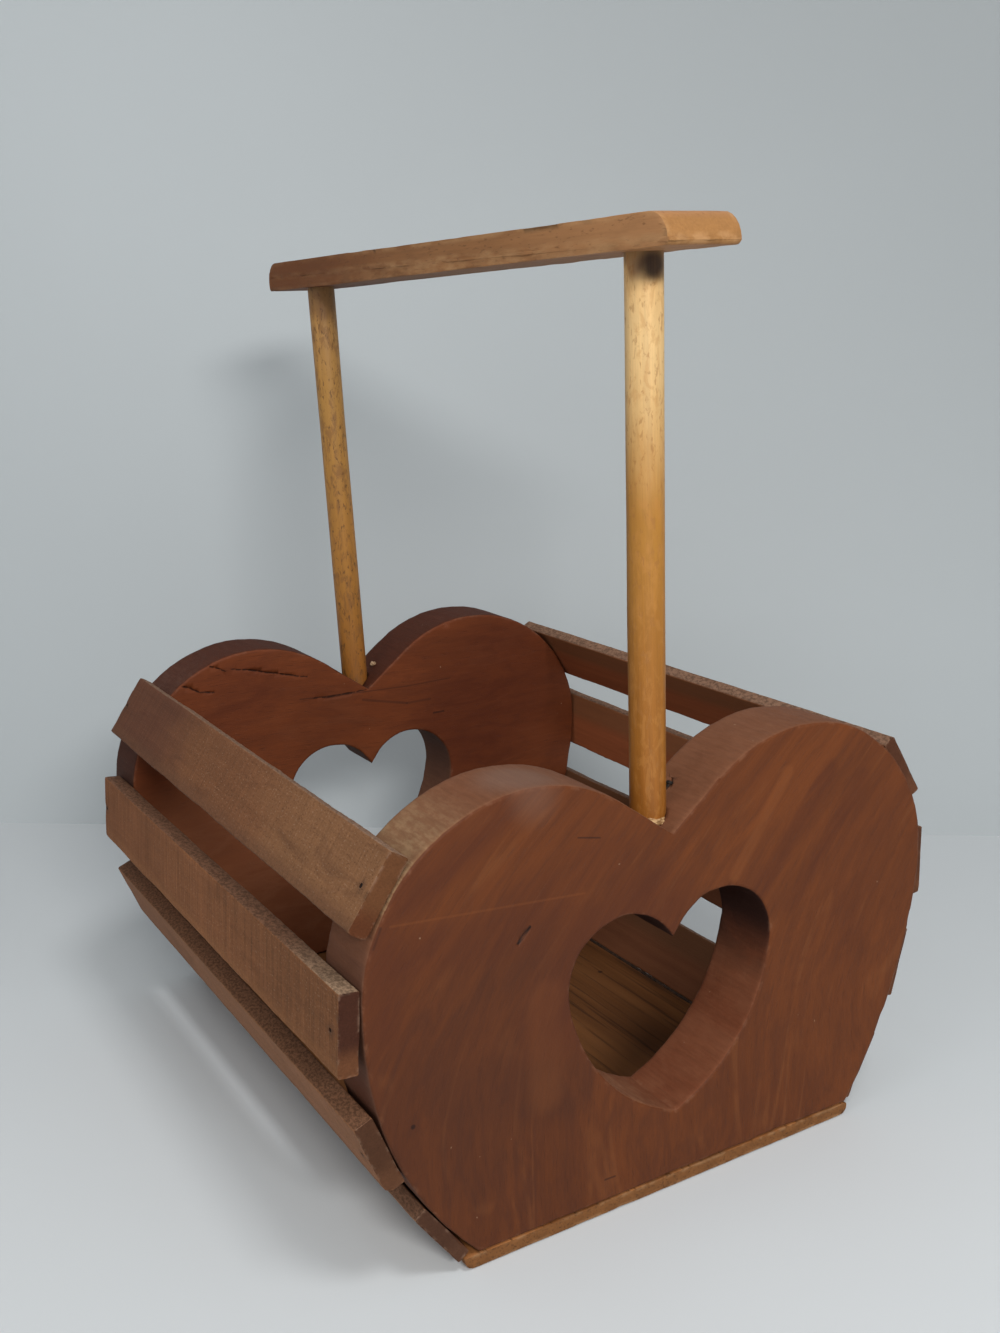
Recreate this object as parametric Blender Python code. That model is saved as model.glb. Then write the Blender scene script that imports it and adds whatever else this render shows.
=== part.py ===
"""Decorative slat basket, modelled in metres with +Z up.

Two heart-shaped end boards stand on a thin floor board. Four slats are nailed along each side, and a
round post in the notch of each heart carries a flat handle bar. The front heart faces -Y, so +X is to
the right of someone who looks at it. The origin is at the bottom centre of the whole basket.
"""

import math

import bmesh
import bpy
from mathutils import Matrix, Vector

# Whole basket
BASKET_LENGTH = 0.1804
SEAT_GAP = 0.0003

# Heart end boards, a little fuller on the left; heights are above the flat base of the heart
BOARD_THICKNESS = 0.0190
HEART_NOTCH_SLOPE = math.radians(37)
HEART_LOBE_RADIUS = 0.0405
HEART_LOBE_OFFSET = 0.0382
HEART_LOBE_HEIGHT = 0.0645
HEART_LEFT_FLANK_RADIUS = 0.0880
HEART_RIGHT_FLANK_RADIUS = 0.1300
HEART_BASE_HALF_WIDTH = 0.0546
BOARD_EDGE_ROUND = 0.0006

# Heart cut-out through each end board
CUTOUT_NOTCH_SLOPE = math.radians(54)
CUTOUT_LOBE_RADIUS = 0.0150
CUTOUT_LOBE_OFFSET = 0.0139
CUTOUT_LOBE_HEIGHT = 0.0547
CUTOUT_FLANK_RADIUS = 0.0451
CUTOUT_TIP_HEIGHT = 0.0164

# Floor board, which reaches further to the left than to the right
FLOOR_THICKNESS = 0.0030
FLOOR_LEFT_REACH = 0.0584
FLOOR_RIGHT_REACH = 0.0551
FLOOR_LOWER_ROUND = 0.0023
FLOOR_UPPER_ROUND = 0.0005

# Slats, listed from the shoulder of the heart down to its foot, all a little shorter than the basket.
# The right ones are thinner stock, and the left foot slat is thin and narrow.
SLAT_SHORTFALL = 0.0069
SLAT_WIDTH = 0.0186
LEFT_FOOT_SLAT_WIDTH = 0.0176
LEFT_SLAT_THICKNESS = 0.0047
LEFT_FOOT_SLAT_THICKNESS = 0.0034
RIGHT_SLAT_THICKNESS = 0.0036
SLAT_CORNER_ROUND = 0.0005
WORN_CORNER_ROUND = 0.0022
LEFT_SLAT_SETBACK = 0.0006
RIGHT_SLAT_SETBACK = 0.0033
LEFT_SLAT_TILTS = (35.0, 5.0, -20.5, -35.0)
RIGHT_SLAT_TILTS = (31.0, 0.0, -16.0, -30.0)
LEFT_FRONT_HEIGHT_SHARES = (0.867, 0.587, 0.297, 0.061)
LEFT_REAR_HEIGHT_SHARES = (0.873, 0.580, 0.302, 0.061)
RIGHT_FRONT_HEIGHT_SHARES = (0.829, 0.566, 0.306, 0.058)
RIGHT_REAR_HEIGHT_SHARES = (0.839, 0.589, 0.322, 0.058)

# Brads that hold the slats, and the pin driven through a lobe into the front post
BRAD_LENGTH = 0.0160
BRAD_SHANK_RADIUS = 0.0006
BRAD_HEAD_RADIUS = 0.0009
BRAD_HEAD_THICKNESS = 0.0007
BRAD_SINK = 0.0002
CUT_OVERRUN = 0.0010
BRAD_INSET = 0.0080
LEFT_FRONT_BRAD_INSET = 0.0045
PIN_SIDE_OFFSET = 0.0093
PIN_BACK_OFFSET = 0.0032
PIN_DROP = 0.0040

# Handle posts; a lean is how far the top stands to the right of the foot
POST_DIAMETER = 0.0082
POST_INSET = 0.0100
POST_SOCKET_DEPTH = 0.0120
FRONT_POST_LEAN = 0.0015
REAR_POST_LEAN = -0.0029

# Handle bar; its top is level and its underside drops a little towards the rear
BAR_TOP_HEIGHT = 0.2201
BAR_WIDTH = 0.0183
BAR_FRONT_THICKNESS = 0.0067
BAR_REAR_THICKNESS = 0.0085
BAR_FRONT_OVERHANG = 0.0126
BAR_REAR_OVERHANG = 0.0160
BAR_UPPER_ROUND = 0.0058
BAR_LOWER_ROUND = 0.0014
BAR_EDGE_ROUND = 0.0005
BAR_SOCKET_DEPTH = 0.0040

# How finely the curves are cut, and how close two points are to count as one
LOBE_STEPS = 22
FLANK_STEPS = 12
CORNER_STEPS = 6
ROUND_SIDES = 32
BRAD_SIDES = 12
RIM_SEGMENTS = 2
MERGE_DISTANCE = 0.00001

# Finishes, as linear colours
STAINED_RED = (0.270, 0.088, 0.042)
WEATHERED_BROWN = (0.300, 0.130, 0.065)
PALE_FLOOR = (0.480, 0.250, 0.105)
HONEY_POST = (0.560, 0.280, 0.085)
WARM_BAR = (0.340, 0.145, 0.065)
DARK_STEEL = (0.045, 0.035, 0.030)

HEART_BASE = FLOOR_THICKNESS + SEAT_GAP
HEART_HEIGHT = HEART_LOBE_HEIGHT + HEART_LOBE_RADIUS
HEART_LOBE_CENTRE = (HEART_LOBE_OFFSET, HEART_LOBE_HEIGHT)
CUTOUT_LOBE_CENTRE = (CUTOUT_LOBE_OFFSET, CUTOUT_LOBE_HEIGHT)
HALF_LENGTH = BASKET_LENGTH / 2
SLAT_LENGTH = BASKET_LENGTH - SLAT_SHORTFALL
FRONT_POST_Y = POST_INSET - HALF_LENGTH
REAR_POST_Y = HALF_LENGTH - POST_INSET


def clear_scene():
    for item in list(bpy.data.objects):
        bpy.data.objects.remove(item, do_unlink=True)


def finish(name, colour, roughness, metallic=0.0):
    """A new Principled material with one plain colour."""
    material = bpy.data.materials.new(name + "_finish")
    material.use_nodes = True
    shader = material.node_tree.nodes["Principled BSDF"]
    shader.inputs["Base Color"].default_value = (*colour, 1.0)
    shader.inputs["Roughness"].default_value = roughness
    shader.inputs["Metallic"].default_value = metallic
    material.diffuse_color = (*colour, 1.0)
    return material


def add_object(name, bm, matrix, material=None):
    """Put a bmesh into the scene as one object. A piece with no material is a cutter."""
    bmesh.ops.recalc_face_normals(bm, faces=bm.faces)
    mesh = bpy.data.meshes.new(name)
    bm.to_mesh(mesh)
    bm.free()
    mesh.shade_smooth()
    mesh.set_sharp_from_angle(angle=math.radians(35))
    piece = bpy.data.objects.new(name, mesh)
    bpy.context.collection.objects.link(piece)
    piece.parent = basket
    piece.matrix_world = matrix
    if material is None:
        piece.hide_render = True
        piece.display_type = 'WIRE'
    else:
        mesh.materials.append(material)
    return piece


def cut(piece, cutter):
    modifier = piece.modifiers.new("cut_" + cutter.name, 'BOOLEAN')
    modifier.operation = 'DIFFERENCE'
    modifier.object = cutter
    modifier.solver = 'EXACT'


def frame(origin, right, up):
    """A placement whose local X runs along right and local Y along up."""
    across = Vector(right).normalized()
    upward = Vector(up).normalized()
    outward = across.cross(upward)
    turn = Matrix((across, upward, outward)).transposed().to_4x4()
    return Matrix.Translation(origin) @ turn


def arc(centre, radius, start, end, steps):
    """Points from the start angle to the end angle, both ends included."""
    angles = [start + (end - start) * step / steps for step in range(steps + 1)]
    return [(centre[0] + radius * math.cos(a), centre[1] + radius * math.sin(a)) for a in angles]


def flank_centre(lobe_centre, lobe_radius, flank_radius, foot):
    """Centre of the flank arc, which meets the lobe arc smoothly and ends at the foot."""
    reach = flank_radius - lobe_radius
    to_foot = Vector(foot) - Vector(lobe_centre)
    span = to_foot.length
    along = (reach ** 2 - flank_radius ** 2 + span ** 2) / (2 * span)
    aside = math.sqrt(reach ** 2 - along ** 2)
    forward = to_foot / span
    inward = Vector((forward.y, -forward.x))
    return Vector(lobe_centre) + along * forward + aside * inward


def notch_height(slope, lobe_centre, lobe_radius):
    """Where the straight slope that touches the lobe comes down to the centre line."""
    touch = arc(lobe_centre, lobe_radius, slope + math.pi / 2, 0, 1)[0]
    return touch[1] - touch[0] * math.tan(slope)


def half_heart(slope, lobe_centre, lobe_radius, flank_radius, foot):
    """Half a heart from its notch down: a straight slope, the lobe arc and the flank arc."""
    centre = flank_centre(lobe_centre, lobe_radius, flank_radius, foot)
    join = math.atan2(lobe_centre[1] - centre.y, lobe_centre[0] - centre.x)
    flank_end = math.atan2(foot[1] - centre.y, foot[0] - centre.x)
    lobe = arc(lobe_centre, lobe_radius, slope + math.pi / 2, join, LOBE_STEPS)
    flank = arc(centre, flank_radius, join, flank_end, FLANK_STEPS)
    return lobe + flank[1:-1]


def heart_outline(slope, lobe_centre, lobe_radius, right_flank_radius, left_flank_radius, foot):
    """A heart whose two flanks can be unlike, round from its notch."""
    right_half = half_heart(slope, lobe_centre, lobe_radius, right_flank_radius, foot)
    left_half = half_heart(slope, lobe_centre, lobe_radius, left_flank_radius, foot)
    mirrored = [(-x, y) for x, y in reversed(left_half)]
    feet = [foot, (-foot[0], foot[1])] if foot[0] else [foot]
    return [(0, notch_height(slope, lobe_centre, lobe_radius))] + right_half + feet + mirrored


def heart_reach(side, angle):
    """How far the heart's edge reaches from its base centre in a direction, and so where a slat sits."""
    lobe_centre = Vector(HEART_LOBE_CENTRE)
    flank_radius = HEART_RIGHT_FLANK_RADIUS if side > 0 else HEART_LEFT_FLANK_RADIUS
    centre = flank_centre(lobe_centre, HEART_LOBE_RADIUS, flank_radius, (HEART_BASE_HALF_WIDTH, 0))
    direction = Vector((math.cos(angle), math.sin(angle)))
    to_lobe = lobe_centre - centre
    if angle >= math.atan2(to_lobe.y, to_lobe.x):
        return lobe_centre.dot(direction) + HEART_LOBE_RADIUS
    return centre.dot(direction) + flank_radius


def rounded_outline(corners):
    """An outline from (x, y, radius) corners, listed anticlockwise, with each corner rounded."""
    points = []
    for index, (x, y, radius) in enumerate(corners):
        here = Vector((x, y))
        before = Vector(corners[index - 1][:2])
        after = Vector(corners[(index + 1) % len(corners)][:2])
        back = (before - here).normalized()
        ahead = (after - here).normalized()
        half = back.angle(ahead) / 2
        centre = here + (back + ahead).normalized() * radius / math.sin(half)
        first = here + back * radius / math.tan(half) - centre
        last = here + ahead * radius / math.tan(half) - centre
        start = math.atan2(first.y, first.x)
        sweep = (math.atan2(last.y, last.x) - start) % math.tau
        points += arc(centre, radius, start, start + sweep, CORNER_STEPS)
    return points


def plate(outline, thickness, rim_round=0.0, opening=None):
    """A flat solid in local XY, centred on its thickness along Z, with an opening and rounded rims."""
    bm = bmesh.new()
    for loop in (outline, opening or []):
        corners = [bm.verts.new((x, y, -thickness / 2)) for x, y in loop]
        for index, corner in enumerate(corners):
            bm.edges.new((corners[index - 1], corner))
    if opening:
        bmesh.ops.triangle_fill(bm, use_beauty=True, edges=bm.edges[:])
    else:
        bm.faces.new(bm.verts[:])
    grown = bmesh.ops.extrude_face_region(bm, geom=bm.faces[:])
    moved = [item for item in grown["geom"] if isinstance(item, bmesh.types.BMVert)]
    bmesh.ops.translate(bm, verts=moved, vec=(0, 0, thickness))
    bmesh.ops.recalc_face_normals(bm, faces=bm.faces)
    if rim_round:
        rims = [edge for edge in bm.edges if sum(abs(face.normal.z) > 0.5 for face in edge.link_faces) == 1]
        bmesh.ops.bevel(bm, geom=rims, offset=rim_round, segments=RIM_SEGMENTS, profile=0.5,
                        affect='EDGES', material=-1, clamp_overlap=True)
    return bm


def rod(radius, length):
    """A round rod centred on the local origin along Z."""
    bm = bmesh.new()
    bmesh.ops.create_cone(bm, cap_ends=True, segments=ROUND_SIDES, radius1=radius, radius2=radius, depth=length)
    return bm


def brad(growth=0.0):
    """A brad with its head's top at the local origin and its point towards -Z; grown, it is its hole."""
    top = BRAD_SINK + CUT_OVERRUN if growth else 0.0
    neck = -BRAD_HEAD_THICKNESS - growth
    tip = -BRAD_LENGTH - growth
    head = BRAD_HEAD_RADIUS + growth
    shank = BRAD_SHANK_RADIUS + growth
    profile = [(0, top), (head, top), (head, neck), (shank, neck), (shank, tip + shank), (0, tip)]
    bm = bmesh.new()
    corners = [bm.verts.new((x, 0, z)) for x, z in profile]
    edges = [bm.edges.new(pair) for pair in zip(corners, corners[1:])]
    bmesh.ops.spin(bm, geom=corners + edges, cent=(0, 0, 0), axis=(0, 0, 1), angle=math.tau,
                   steps=BRAD_SIDES, use_merge=True)
    bmesh.ops.remove_doubles(bm, verts=bm.verts, dist=MERGE_DISTANCE)
    return bm


def add_cutter(name, shapes):
    """One cutter made of several (bmesh, placement) shapes that don't meet."""
    joined = bmesh.new()
    for shape, placement in shapes:
        shape.transform(placement)
        scrap = bpy.data.meshes.new("scrap")
        shape.to_mesh(scrap)
        shape.free()
        joined.from_mesh(scrap)
        bpy.data.meshes.remove(scrap)
    return add_object(name, joined, Matrix())


def post_placement(y, lean):
    """Where a post stands: from its socket in the notch up to its socket in the bar."""
    foot = Vector((0, y, NOTCH_TOP - POST_SOCKET_DEPTH))
    top = Vector((lean, y, HEART_BASE + bar_underside(y) + BAR_SOCKET_DEPTH))
    axis = top - foot
    return frame((foot + top) / 2, axis.cross(Vector((0, -1, 0))), (0, 1, 0)), axis.length


def bar_underside(y):
    """Height of the bar's underside above the hearts' base at a place along the basket."""
    front_end = -HALF_LENGTH - BAR_FRONT_OVERHANG
    rear_end = HALF_LENGTH + BAR_REAR_OVERHANG
    share = (y - front_end) / (rear_end - front_end)
    thickness = BAR_FRONT_THICKNESS + (BAR_REAR_THICKNESS - BAR_FRONT_THICKNESS) * share
    return BAR_TOP_HEIGHT - thickness


def slat_frame(side, tilt, thickness, front_height, rear_height):
    """Placement of one slat, flat against the edge of both hearts."""
    angle = math.radians(tilt)
    outward = Vector((side * math.cos(angle), 0, math.sin(angle)))
    upward = Vector((-side * math.sin(angle), 0, math.cos(angle)))
    setback = RIGHT_SLAT_SETBACK if side > 0 else LEFT_SLAT_SETBACK
    outer = heart_reach(side, angle) + SEAT_GAP + thickness
    middle_height = (front_height + rear_height) / 2
    rise = (middle_height - outer * outward.z) / upward.z
    origin = outward * (outer - thickness / 2) + upward * rise
    origin += Vector((0, setback + SLAT_LENGTH / 2 - HALF_LENGTH, HEART_BASE))
    turn = side * math.asin((rear_height - front_height) / (SLAT_LENGTH * upward.z))
    return frame(origin, outward, upward) @ Matrix.Rotation(turn, 4, 'X')


def slat_section(thickness, width, worn):
    """Cross-section of a slat; a worn slat has its lower outer corner rubbed round."""
    half = thickness / 2
    reach = width / 2
    lower = WORN_CORNER_ROUND if worn else SLAT_CORNER_ROUND
    return rounded_outline([(-half, -reach, SLAT_CORNER_ROUND), (half, -reach, lower),
                            (half, reach, SLAT_CORNER_ROUND), (-half, reach, SLAT_CORNER_ROUND)])


def slat_stock(side, index):
    """Thickness and width of one slat."""
    if side > 0:
        return RIGHT_SLAT_THICKNESS, SLAT_WIDTH
    if index == len(LEFT_SLAT_TILTS) - 1:
        return LEFT_FOOT_SLAT_THICKNESS, LEFT_FOOT_SLAT_WIDTH
    return LEFT_SLAT_THICKNESS, SLAT_WIDTH


def build_slats(side_name, side, tilts, front_shares, rear_shares, front_inset):
    """The four slats of one side with their brads. Returns the placement of every brad by heart."""
    brads = {"front": [], "rear": []}
    for index, tilt in enumerate(tilts):
        name = f"{side_name}_slat_{index + 1}"
        thickness, width = slat_stock(side, index)
        placement = slat_frame(side, tilt, thickness, front_shares[index] * HEART_HEIGHT,
                               rear_shares[index] * HEART_HEIGHT)
        worn = side < 0 and index == 2
        section = slat_section(thickness, width, worn)
        slat = add_object(name, plate(section, SLAT_LENGTH), placement, slat_finish)
        places = {"front": front_inset - HALF_LENGTH, "rear": HALF_LENGTH - BRAD_INSET}
        holes = []
        for end, y in places.items():
            along = side * (placement.translation.y - y)
            seat = placement @ Matrix.Translation((thickness / 2 - BRAD_SINK, 0, along))
            seat = seat @ Matrix.Rotation(math.pi / 2, 4, 'Y')
            add_object(f"{name}_{end}_brad", brad(), seat, brad_finish)
            holes.append((brad(SEAT_GAP), seat))
            brads[end].append(seat)
        cut(slat, add_cutter(name + "_holes", holes))
    return brads


def build_heart(end, y, brads, post_hole, extra_holes):
    """One end board with its cut-out, its post socket and the holes of its brads."""
    outline = heart_outline(HEART_NOTCH_SLOPE, HEART_LOBE_CENTRE, HEART_LOBE_RADIUS,
                            HEART_RIGHT_FLANK_RADIUS, HEART_LEFT_FLANK_RADIUS, (HEART_BASE_HALF_WIDTH, 0))
    cutout = heart_outline(CUTOUT_NOTCH_SLOPE, CUTOUT_LOBE_CENTRE, CUTOUT_LOBE_RADIUS,
                           CUTOUT_FLANK_RADIUS, CUTOUT_FLANK_RADIUS, (0, CUTOUT_TIP_HEIGHT))
    placement = frame((0, y, HEART_BASE), (1, 0, 0), (0, 0, 1))
    board = plate(outline, BOARD_THICKNESS, BOARD_EDGE_ROUND, cutout)
    heart = add_object(f"{end}_heart", board, placement, heart_finish)
    holes = [(brad(SEAT_GAP), seat) for seat in brads]
    cut(heart, add_cutter(f"{end}_heart_holes", holes))
    cut(heart, add_cutter(f"{end}_heart_socket", [post_hole]))
    for cutter in extra_holes:
        cut(heart, cutter)
    return heart


def build_floor():
    """The floor board under both hearts, with its long edges rounded."""
    section = rounded_outline([(-FLOOR_LEFT_REACH, 0, FLOOR_LOWER_ROUND),
                               (FLOOR_RIGHT_REACH, 0, FLOOR_LOWER_ROUND),
                               (FLOOR_RIGHT_REACH, FLOOR_THICKNESS, FLOOR_UPPER_ROUND),
                               (-FLOOR_LEFT_REACH, FLOOR_THICKNESS, FLOOR_UPPER_ROUND)])
    placement = frame((0, 0, 0), (1, 0, 0), (0, 0, 1))
    add_object("floor_board", plate(section, BASKET_LENGTH), placement, floor_finish)


def build_bar(post_holes):
    """The handle bar: its side profile, rounded at both upper ends, carried across its width."""
    front = -HALF_LENGTH - BAR_FRONT_OVERHANG
    rear = HALF_LENGTH + BAR_REAR_OVERHANG
    profile = rounded_outline([(front, bar_underside(front), BAR_LOWER_ROUND),
                               (rear, bar_underside(rear), BAR_LOWER_ROUND),
                               (rear, BAR_TOP_HEIGHT, BAR_UPPER_ROUND),
                               (front, BAR_TOP_HEIGHT, BAR_UPPER_ROUND)])
    placement = frame((0, 0, HEART_BASE), (0, 1, 0), (0, 0, 1))
    bar = add_object("handle_bar", plate(profile, BAR_WIDTH, BAR_EDGE_ROUND), placement, bar_finish)
    cut(bar, add_cutter("handle_bar_sockets", post_holes))


def build_pin():
    """The pin in the right lobe of the front heart. Returns its cutter, which the post shares."""
    surface = NOTCH_TOP + PIN_SIDE_OFFSET * math.tan(HEART_NOTCH_SLOPE)
    head = Vector((PIN_SIDE_OFFSET, FRONT_POST_Y + PIN_BACK_OFFSET, surface - BRAD_SINK))
    target = Vector((0, FRONT_POST_Y, NOTCH_TOP - PIN_DROP))
    axis = head - target
    placement = frame(head, axis.cross(Vector((0, 1, 0))), axis.cross(axis.cross(Vector((0, 1, 0)))))
    add_object("front_post_pin", brad(), placement, brad_finish)
    return add_cutter("front_post_pin_hole", [(brad(SEAT_GAP), placement)])


def build_posts(pin_hole):
    """Both round posts. Returns the shape of each post's sockets."""
    sockets = {}
    for end, y, lean in (("front", FRONT_POST_Y, FRONT_POST_LEAN), ("rear", REAR_POST_Y, REAR_POST_LEAN)):
        placement, length = post_placement(y, lean)
        post = add_object(f"{end}_post", rod(POST_DIAMETER / 2, length), placement, post_finish)
        if end == "front":
            cut(post, pin_hole)
        sockets[end] = placement, length
    return sockets


def socket(placement, length):
    """The space that a post needs: the post, grown all round by the seat gap."""
    return rod(POST_DIAMETER / 2 + SEAT_GAP, length + 2 * SEAT_GAP), placement


def centre_on_ground():
    """Move the basket so that the middle of its box, at its lowest point, is the origin."""
    bpy.context.view_layer.update()
    pieces = [item for item in basket.children if not item.hide_render]
    corners = [item.matrix_world @ vert.co for item in pieces for vert in item.data.vertices]
    low = [min(corner[axis] for corner in corners) for axis in range(3)]
    high = [max(corner[axis] for corner in corners) for axis in range(3)]
    basket.location = (-(low[0] + high[0]) / 2, -(low[1] + high[1]) / 2, -low[2])


NOTCH_TOP = HEART_BASE + notch_height(HEART_NOTCH_SLOPE, HEART_LOBE_CENTRE, HEART_LOBE_RADIUS)

clear_scene()
basket = bpy.data.objects.new("basket", None)
bpy.context.collection.objects.link(basket)

heart_finish = finish("heart", STAINED_RED, 0.45)
slat_finish = finish("slat", WEATHERED_BROWN, 0.6)
floor_finish = finish("floor", PALE_FLOOR, 0.55)
post_finish = finish("post", HONEY_POST, 0.4)
bar_finish = finish("bar", WARM_BAR, 0.5)
brad_finish = finish("brad", DARK_STEEL, 0.5, 0.8)

pin_cutter = build_pin()
posts = build_posts(pin_cutter)
left_brads = build_slats("left", -1, LEFT_SLAT_TILTS, LEFT_FRONT_HEIGHT_SHARES,
                         LEFT_REAR_HEIGHT_SHARES, LEFT_FRONT_BRAD_INSET)
right_brads = build_slats("right", 1, RIGHT_SLAT_TILTS, RIGHT_FRONT_HEIGHT_SHARES,
                          RIGHT_REAR_HEIGHT_SHARES, BRAD_INSET)
middle = (BASKET_LENGTH - BOARD_THICKNESS) / 2
build_heart("front", -middle, left_brads["front"] + right_brads["front"], socket(*posts["front"]), [pin_cutter])
build_heart("rear", middle, left_brads["rear"] + right_brads["rear"], socket(*posts["rear"]), [])
build_floor()
build_bar([socket(*posts["front"]), socket(*posts["rear"])])
centre_on_ground()
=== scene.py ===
import math

import bmesh
import bpy
from mathutils import Euler, Matrix, Vector, kdtree, noise


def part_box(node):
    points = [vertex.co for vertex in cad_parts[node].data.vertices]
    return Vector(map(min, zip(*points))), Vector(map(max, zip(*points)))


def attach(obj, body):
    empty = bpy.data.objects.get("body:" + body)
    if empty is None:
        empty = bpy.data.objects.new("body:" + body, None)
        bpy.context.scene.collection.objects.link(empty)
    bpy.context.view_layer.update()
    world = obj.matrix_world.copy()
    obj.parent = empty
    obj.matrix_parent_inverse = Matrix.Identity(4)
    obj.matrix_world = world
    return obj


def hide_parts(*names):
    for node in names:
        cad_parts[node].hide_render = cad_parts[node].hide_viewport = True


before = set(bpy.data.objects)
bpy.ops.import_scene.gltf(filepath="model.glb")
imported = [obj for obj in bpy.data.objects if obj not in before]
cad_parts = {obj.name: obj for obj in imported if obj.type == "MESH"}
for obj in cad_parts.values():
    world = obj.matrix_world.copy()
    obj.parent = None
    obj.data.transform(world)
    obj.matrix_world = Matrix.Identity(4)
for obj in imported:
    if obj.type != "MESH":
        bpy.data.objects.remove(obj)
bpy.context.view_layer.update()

BODY = "root"

# All lengths are in metres. Places on the hearts count from the middle of the heart, its face and its foot.
HEART_HALF_WIDTH = 0.0787
CUTOUT_RISE = 0.0445
CUTOUT_REACH = 0.037
front_low, front_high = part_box("front_heart")
rear_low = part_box("rear_heart")[0]
floor_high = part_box("floor_board")[1]
MIDDLE = front_high.x - HEART_HALF_WIDTH
FOOT = front_low.z
FRONT_FACE = front_low.y
REAR_FACE = rear_low.y

# Wood is cut into a net of small faces, so that its surface can be uneven.
HEART_NET = 0.0017
SLAT_NET_ALONG = 0.0013
SLAT_NET_ACROSS = 0.001
FLOOR_NET = 0.002
BAR_NET = 0.0016
POST_NET = 0.0016
SHADE_STRIP_NET = 0.0015

# A post's end points are within POST_END of its box's end, and its rod goes POST_REACH of the way there.
POST_END = 0.002
POST_REACH = 0.8
POST_SHRINK = 0.00006
POST_SIDES = 48
SHADE_STRIP_SIDES = 10
SHADE_STRIP_RADIUS = 0.00065
JOINT_GAP = 0.0003

# How far sharp edges are eased, and in how many steps.
RIM_EASE = 0.0003
CUTOUT_EASE = 0.0015
SLAT_EASE = 0.0003
FLOOR_EASE = 0.00035
BAR_EASE = 0.00055
EASE_STEPS = 2
CUTOUT_EASE_STEPS = 4

# An edge is sharp where the surface turns by this many degrees, unless it is shorter than this.
BOARD_TURN = 40.0
SLAT_TURN = 50.0
EASED_LENGTH = 0.0015
WORN_TURN = 30.0
WORN_LENGTH = 0.0012
WORN_SPACING = 0.0006

# Points closer than this are one point, on a CAD solid and after a cut.
SOLID_MERGE = 1e-6
CUT_MERGE = 1e-7

# Uneven surfaces are sums of waves: how tightly each is packed in three directions, its seed, its height.
HEART_FACE_WAVES = [((60, 60, 60), 0, 0.00006), ((260, 260, 260), 5, 0.00002)]
HEART_WALL_WAVES = [((85, 25, 85), 9, 0.00022), ((420, 40, 420), 2, 0.00006)]
SLAT_FACE_WAVES = [((35, 90, 60), 0, 0.0001), ((420, 170, 200), 3, 0.00004)]
SLAT_EDGE_WAVES = [((70, 60, 60), 6, 0.00026), ((520, 400, 500), 1, 0.00012)]
FLOOR_WAVES = [((40, 14, 40), 0, 0.00006)]
BAR_WAVES = [((60, 22, 60), 0, 0.00016)]
POST_WAVES = [((110, 110, 28), 0, 0.00012), ((500, 500, 60), 4, 0.00003)]
BEAD_WAVES = [((1.7, 1.7, 1.7), 0, 0.45), ((4, 4, 4), 0, 0.16)]
SHADE_STRIP_WAVES = [((900, 420, 900), 0, 0.00025)]

# Wear takes sharp edges back: how far it reaches in, how tightly the knocks are packed, and its depth.
HEART_WEAR = (0.0016, (180, 180, 180), 0.00035)
SLAT_WEAR = (0.0014, (190, 190, 190), 0.00045)
BOARD_WEAR = (0.0016, (170, 110, 170), 0.0004)
WEAR_SEED = 7

# Cracks are thin at both ends, and sway a little on their way.
CRACK_TIP = 0.18
CRACK_SWAY_SIZE = 260

# A nail head shows only as a small hole that its wood has closed round.
NAIL_MOUTH = 0.0012
NAIL_SHOWN = 0.0005
NAIL_PULL = 0.003

# Colours are linear red, green and blue.
DARK_MARK = (0.018, 0.008, 0.006)
PALE_MARK = (0.42, 0.29, 0.2)
CRACK_DARK = (0.012, 0.005, 0.003)
BOARD_FLECK = (0.3, 0.18, 0.11)
SLAT_FLECK = (0.33, 0.205, 0.13)
SLAT_RIM = (0.25, 0.155, 0.105)
NAIL_BRUISE = (0.04, 0.022, 0.015)
FLOOR_DARK = (0.09, 0.034, 0.011)
FLOOR_LIGHT = (0.165, 0.066, 0.022)
FLOOR_LINE = (0.026, 0.012, 0.006)
FLOOR_EDGE = (0.17, 0.07, 0.0235)
FLOOR_EDGE_FLECK = (0.062, 0.028, 0.013)
FLOOR_RIM = (0.33, 0.19, 0.095)
FLOOR_KNOT = (0.02, 0.01, 0.006)
BAR_FRONT = (0.392, 0.188, 0.078)
BAR_MIDDLE = (0.28, 0.126, 0.0485)
BAR_REAR = (0.152, 0.0505, 0.0145)
BAR_FLECK = (0.085, 0.036, 0.015)
BAR_END = (0.308, 0.147, 0.0495)
BAR_RIM = (0.46, 0.255, 0.115)
BAR_SMUDGE_AND_SHADE = (0.062, 0.026, 0.012)
IRON_BLACK = (0.014, 0.011, 0.009)
IRON_RUST = (0.04, 0.018, 0.01)


def shaded(tone, share):
    """A colour times a number."""
    return tuple(share * part for part in tone)


def on_front(x, z, back=0.0):
    """A point on the front heart, or behind its face."""
    return (MIDDLE + x, FRONT_FACE + back, FOOT + z)


def on_rear(x, z, back=0.0):
    """A point on the inner face of the rear heart, or behind it."""
    return (MIDDLE + x, REAR_FACE + back, FOOT + z)


def on_flat(x, z):
    """A point on either heart, with its depth left out."""
    return (MIDDLE + x, 0.0, FOOT + z)


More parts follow.
